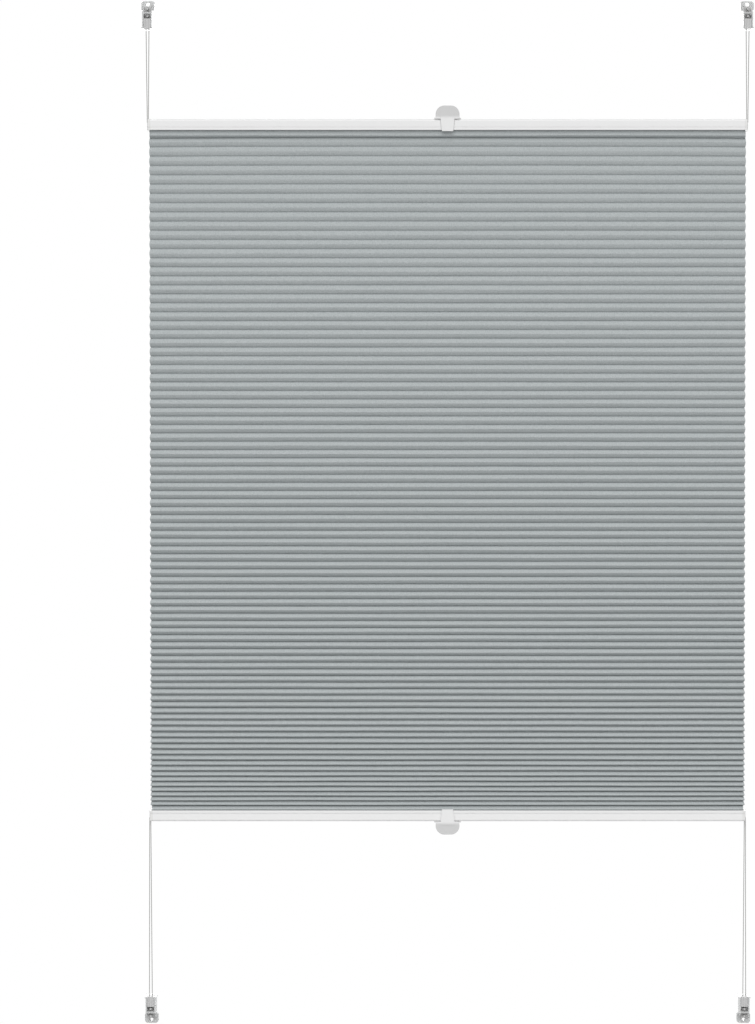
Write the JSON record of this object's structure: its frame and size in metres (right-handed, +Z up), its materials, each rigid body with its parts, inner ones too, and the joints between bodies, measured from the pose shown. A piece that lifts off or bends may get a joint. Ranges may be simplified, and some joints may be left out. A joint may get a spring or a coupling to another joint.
{
  "type": "pleated blind",
  "caption": "Tensioned honeycomb pleated blind: grey cellular fabric between white movable rails with tab handles, held by cords between clear tension shoes.",
  "frame": {"origin": "centre of the rectangle of the four screw holes, in the plane that the shoes' backs are screwed to", "axes": "+X along the rails to the right as seen from the room, +Y from the room into the window, +Z up"},
  "size_m": [0.6152, 0.0242, 1.033],
  "materials": {
    "rail": "white powder coat, satin",
    "cap": "moulded, white",
    "carrier": "extruded strip",
    "handle": "moulded, translucent grey",
    "clear_plastic": "moulded, translucent",
    "grey_plastic": "moulded, light grey",
    "cord": "braided polyester",
    "fabric": "non-woven polyester, aluminised inside the cells",
    "spring": "drawn spring wire"
  },
  "bodies": {
    "mounting": {"shoe_upper_left": "clear_plastic", "shoe_upper_right": "clear_plastic", "shoe_lower_left": "clear_plastic", "shoe_lower_right": "clear_plastic", "cord_holder_upper_left": "grey_plastic", "cord_holder_upper_right": "grey_plastic", "cord_holder_lower_left": "grey_plastic", "cord_holder_lower_right": "grey_plastic", "cord_loop_upper_left": "cord", "cord_loop_upper_right": "cord", "cord_loop_lower_left": "cord", "cord_loop_lower_right": "cord", "fabric": "fabric", "fabric_cords_left": "cord", "fabric_cords_right": "cord"},
    "top_rail_body": {"top_rail": "rail", "top_cap_left": "cap", "top_cap_right": "cap", "top_carrier": "carrier", "top_guide_left": "grey_plastic", "top_guide_right": "grey_plastic", "top_rail_cords": "cord", "top_spring": "spring"},
    "top_handle_body": {"top_handle": "handle"},
    "bottom_rail_body": {"bottom_rail": "rail", "bottom_cap_left": "cap", "bottom_cap_right": "cap", "bottom_carrier": "carrier", "bottom_guide_left": "grey_plastic", "bottom_guide_right": "grey_plastic", "bottom_rail_cords": "cord", "bottom_spring": "spring"},
    "bottom_handle_body": {"bottom_handle": "handle"}
  },
  "joints": [
    {"name": "top_rail_slide", "type": "slide", "parent": "mounting", "child": "top_rail_body", "axis": [0, 0, 1], "range_m": [-0.28, 0.089], "deforming": ["fabric", "cord_loop_upper_left", "cord_loop_upper_right", "fabric_cords_left", "fabric_cords_right"]},
    {"name": "bottom_rail_slide", "type": "slide", "parent": "mounting", "child": "bottom_rail_body", "axis": [0, 0, 1], "range_m": [-0.177, 0.28], "deforming": ["fabric", "cord_loop_lower_left", "cord_loop_lower_right", "fabric_cords_left", "fabric_cords_right"]},
    {"name": "top_handle_slide", "type": "slide", "parent": "top_rail_body", "child": "top_handle_body", "axis": [1, 0, 0], "range_m": [-0.28, 0.28]},
    {"name": "bottom_handle_slide", "type": "slide", "parent": "bottom_rail_body", "child": "bottom_handle_body", "axis": [1, 0, 0], "range_m": [-0.28, 0.28]}
  ]
}
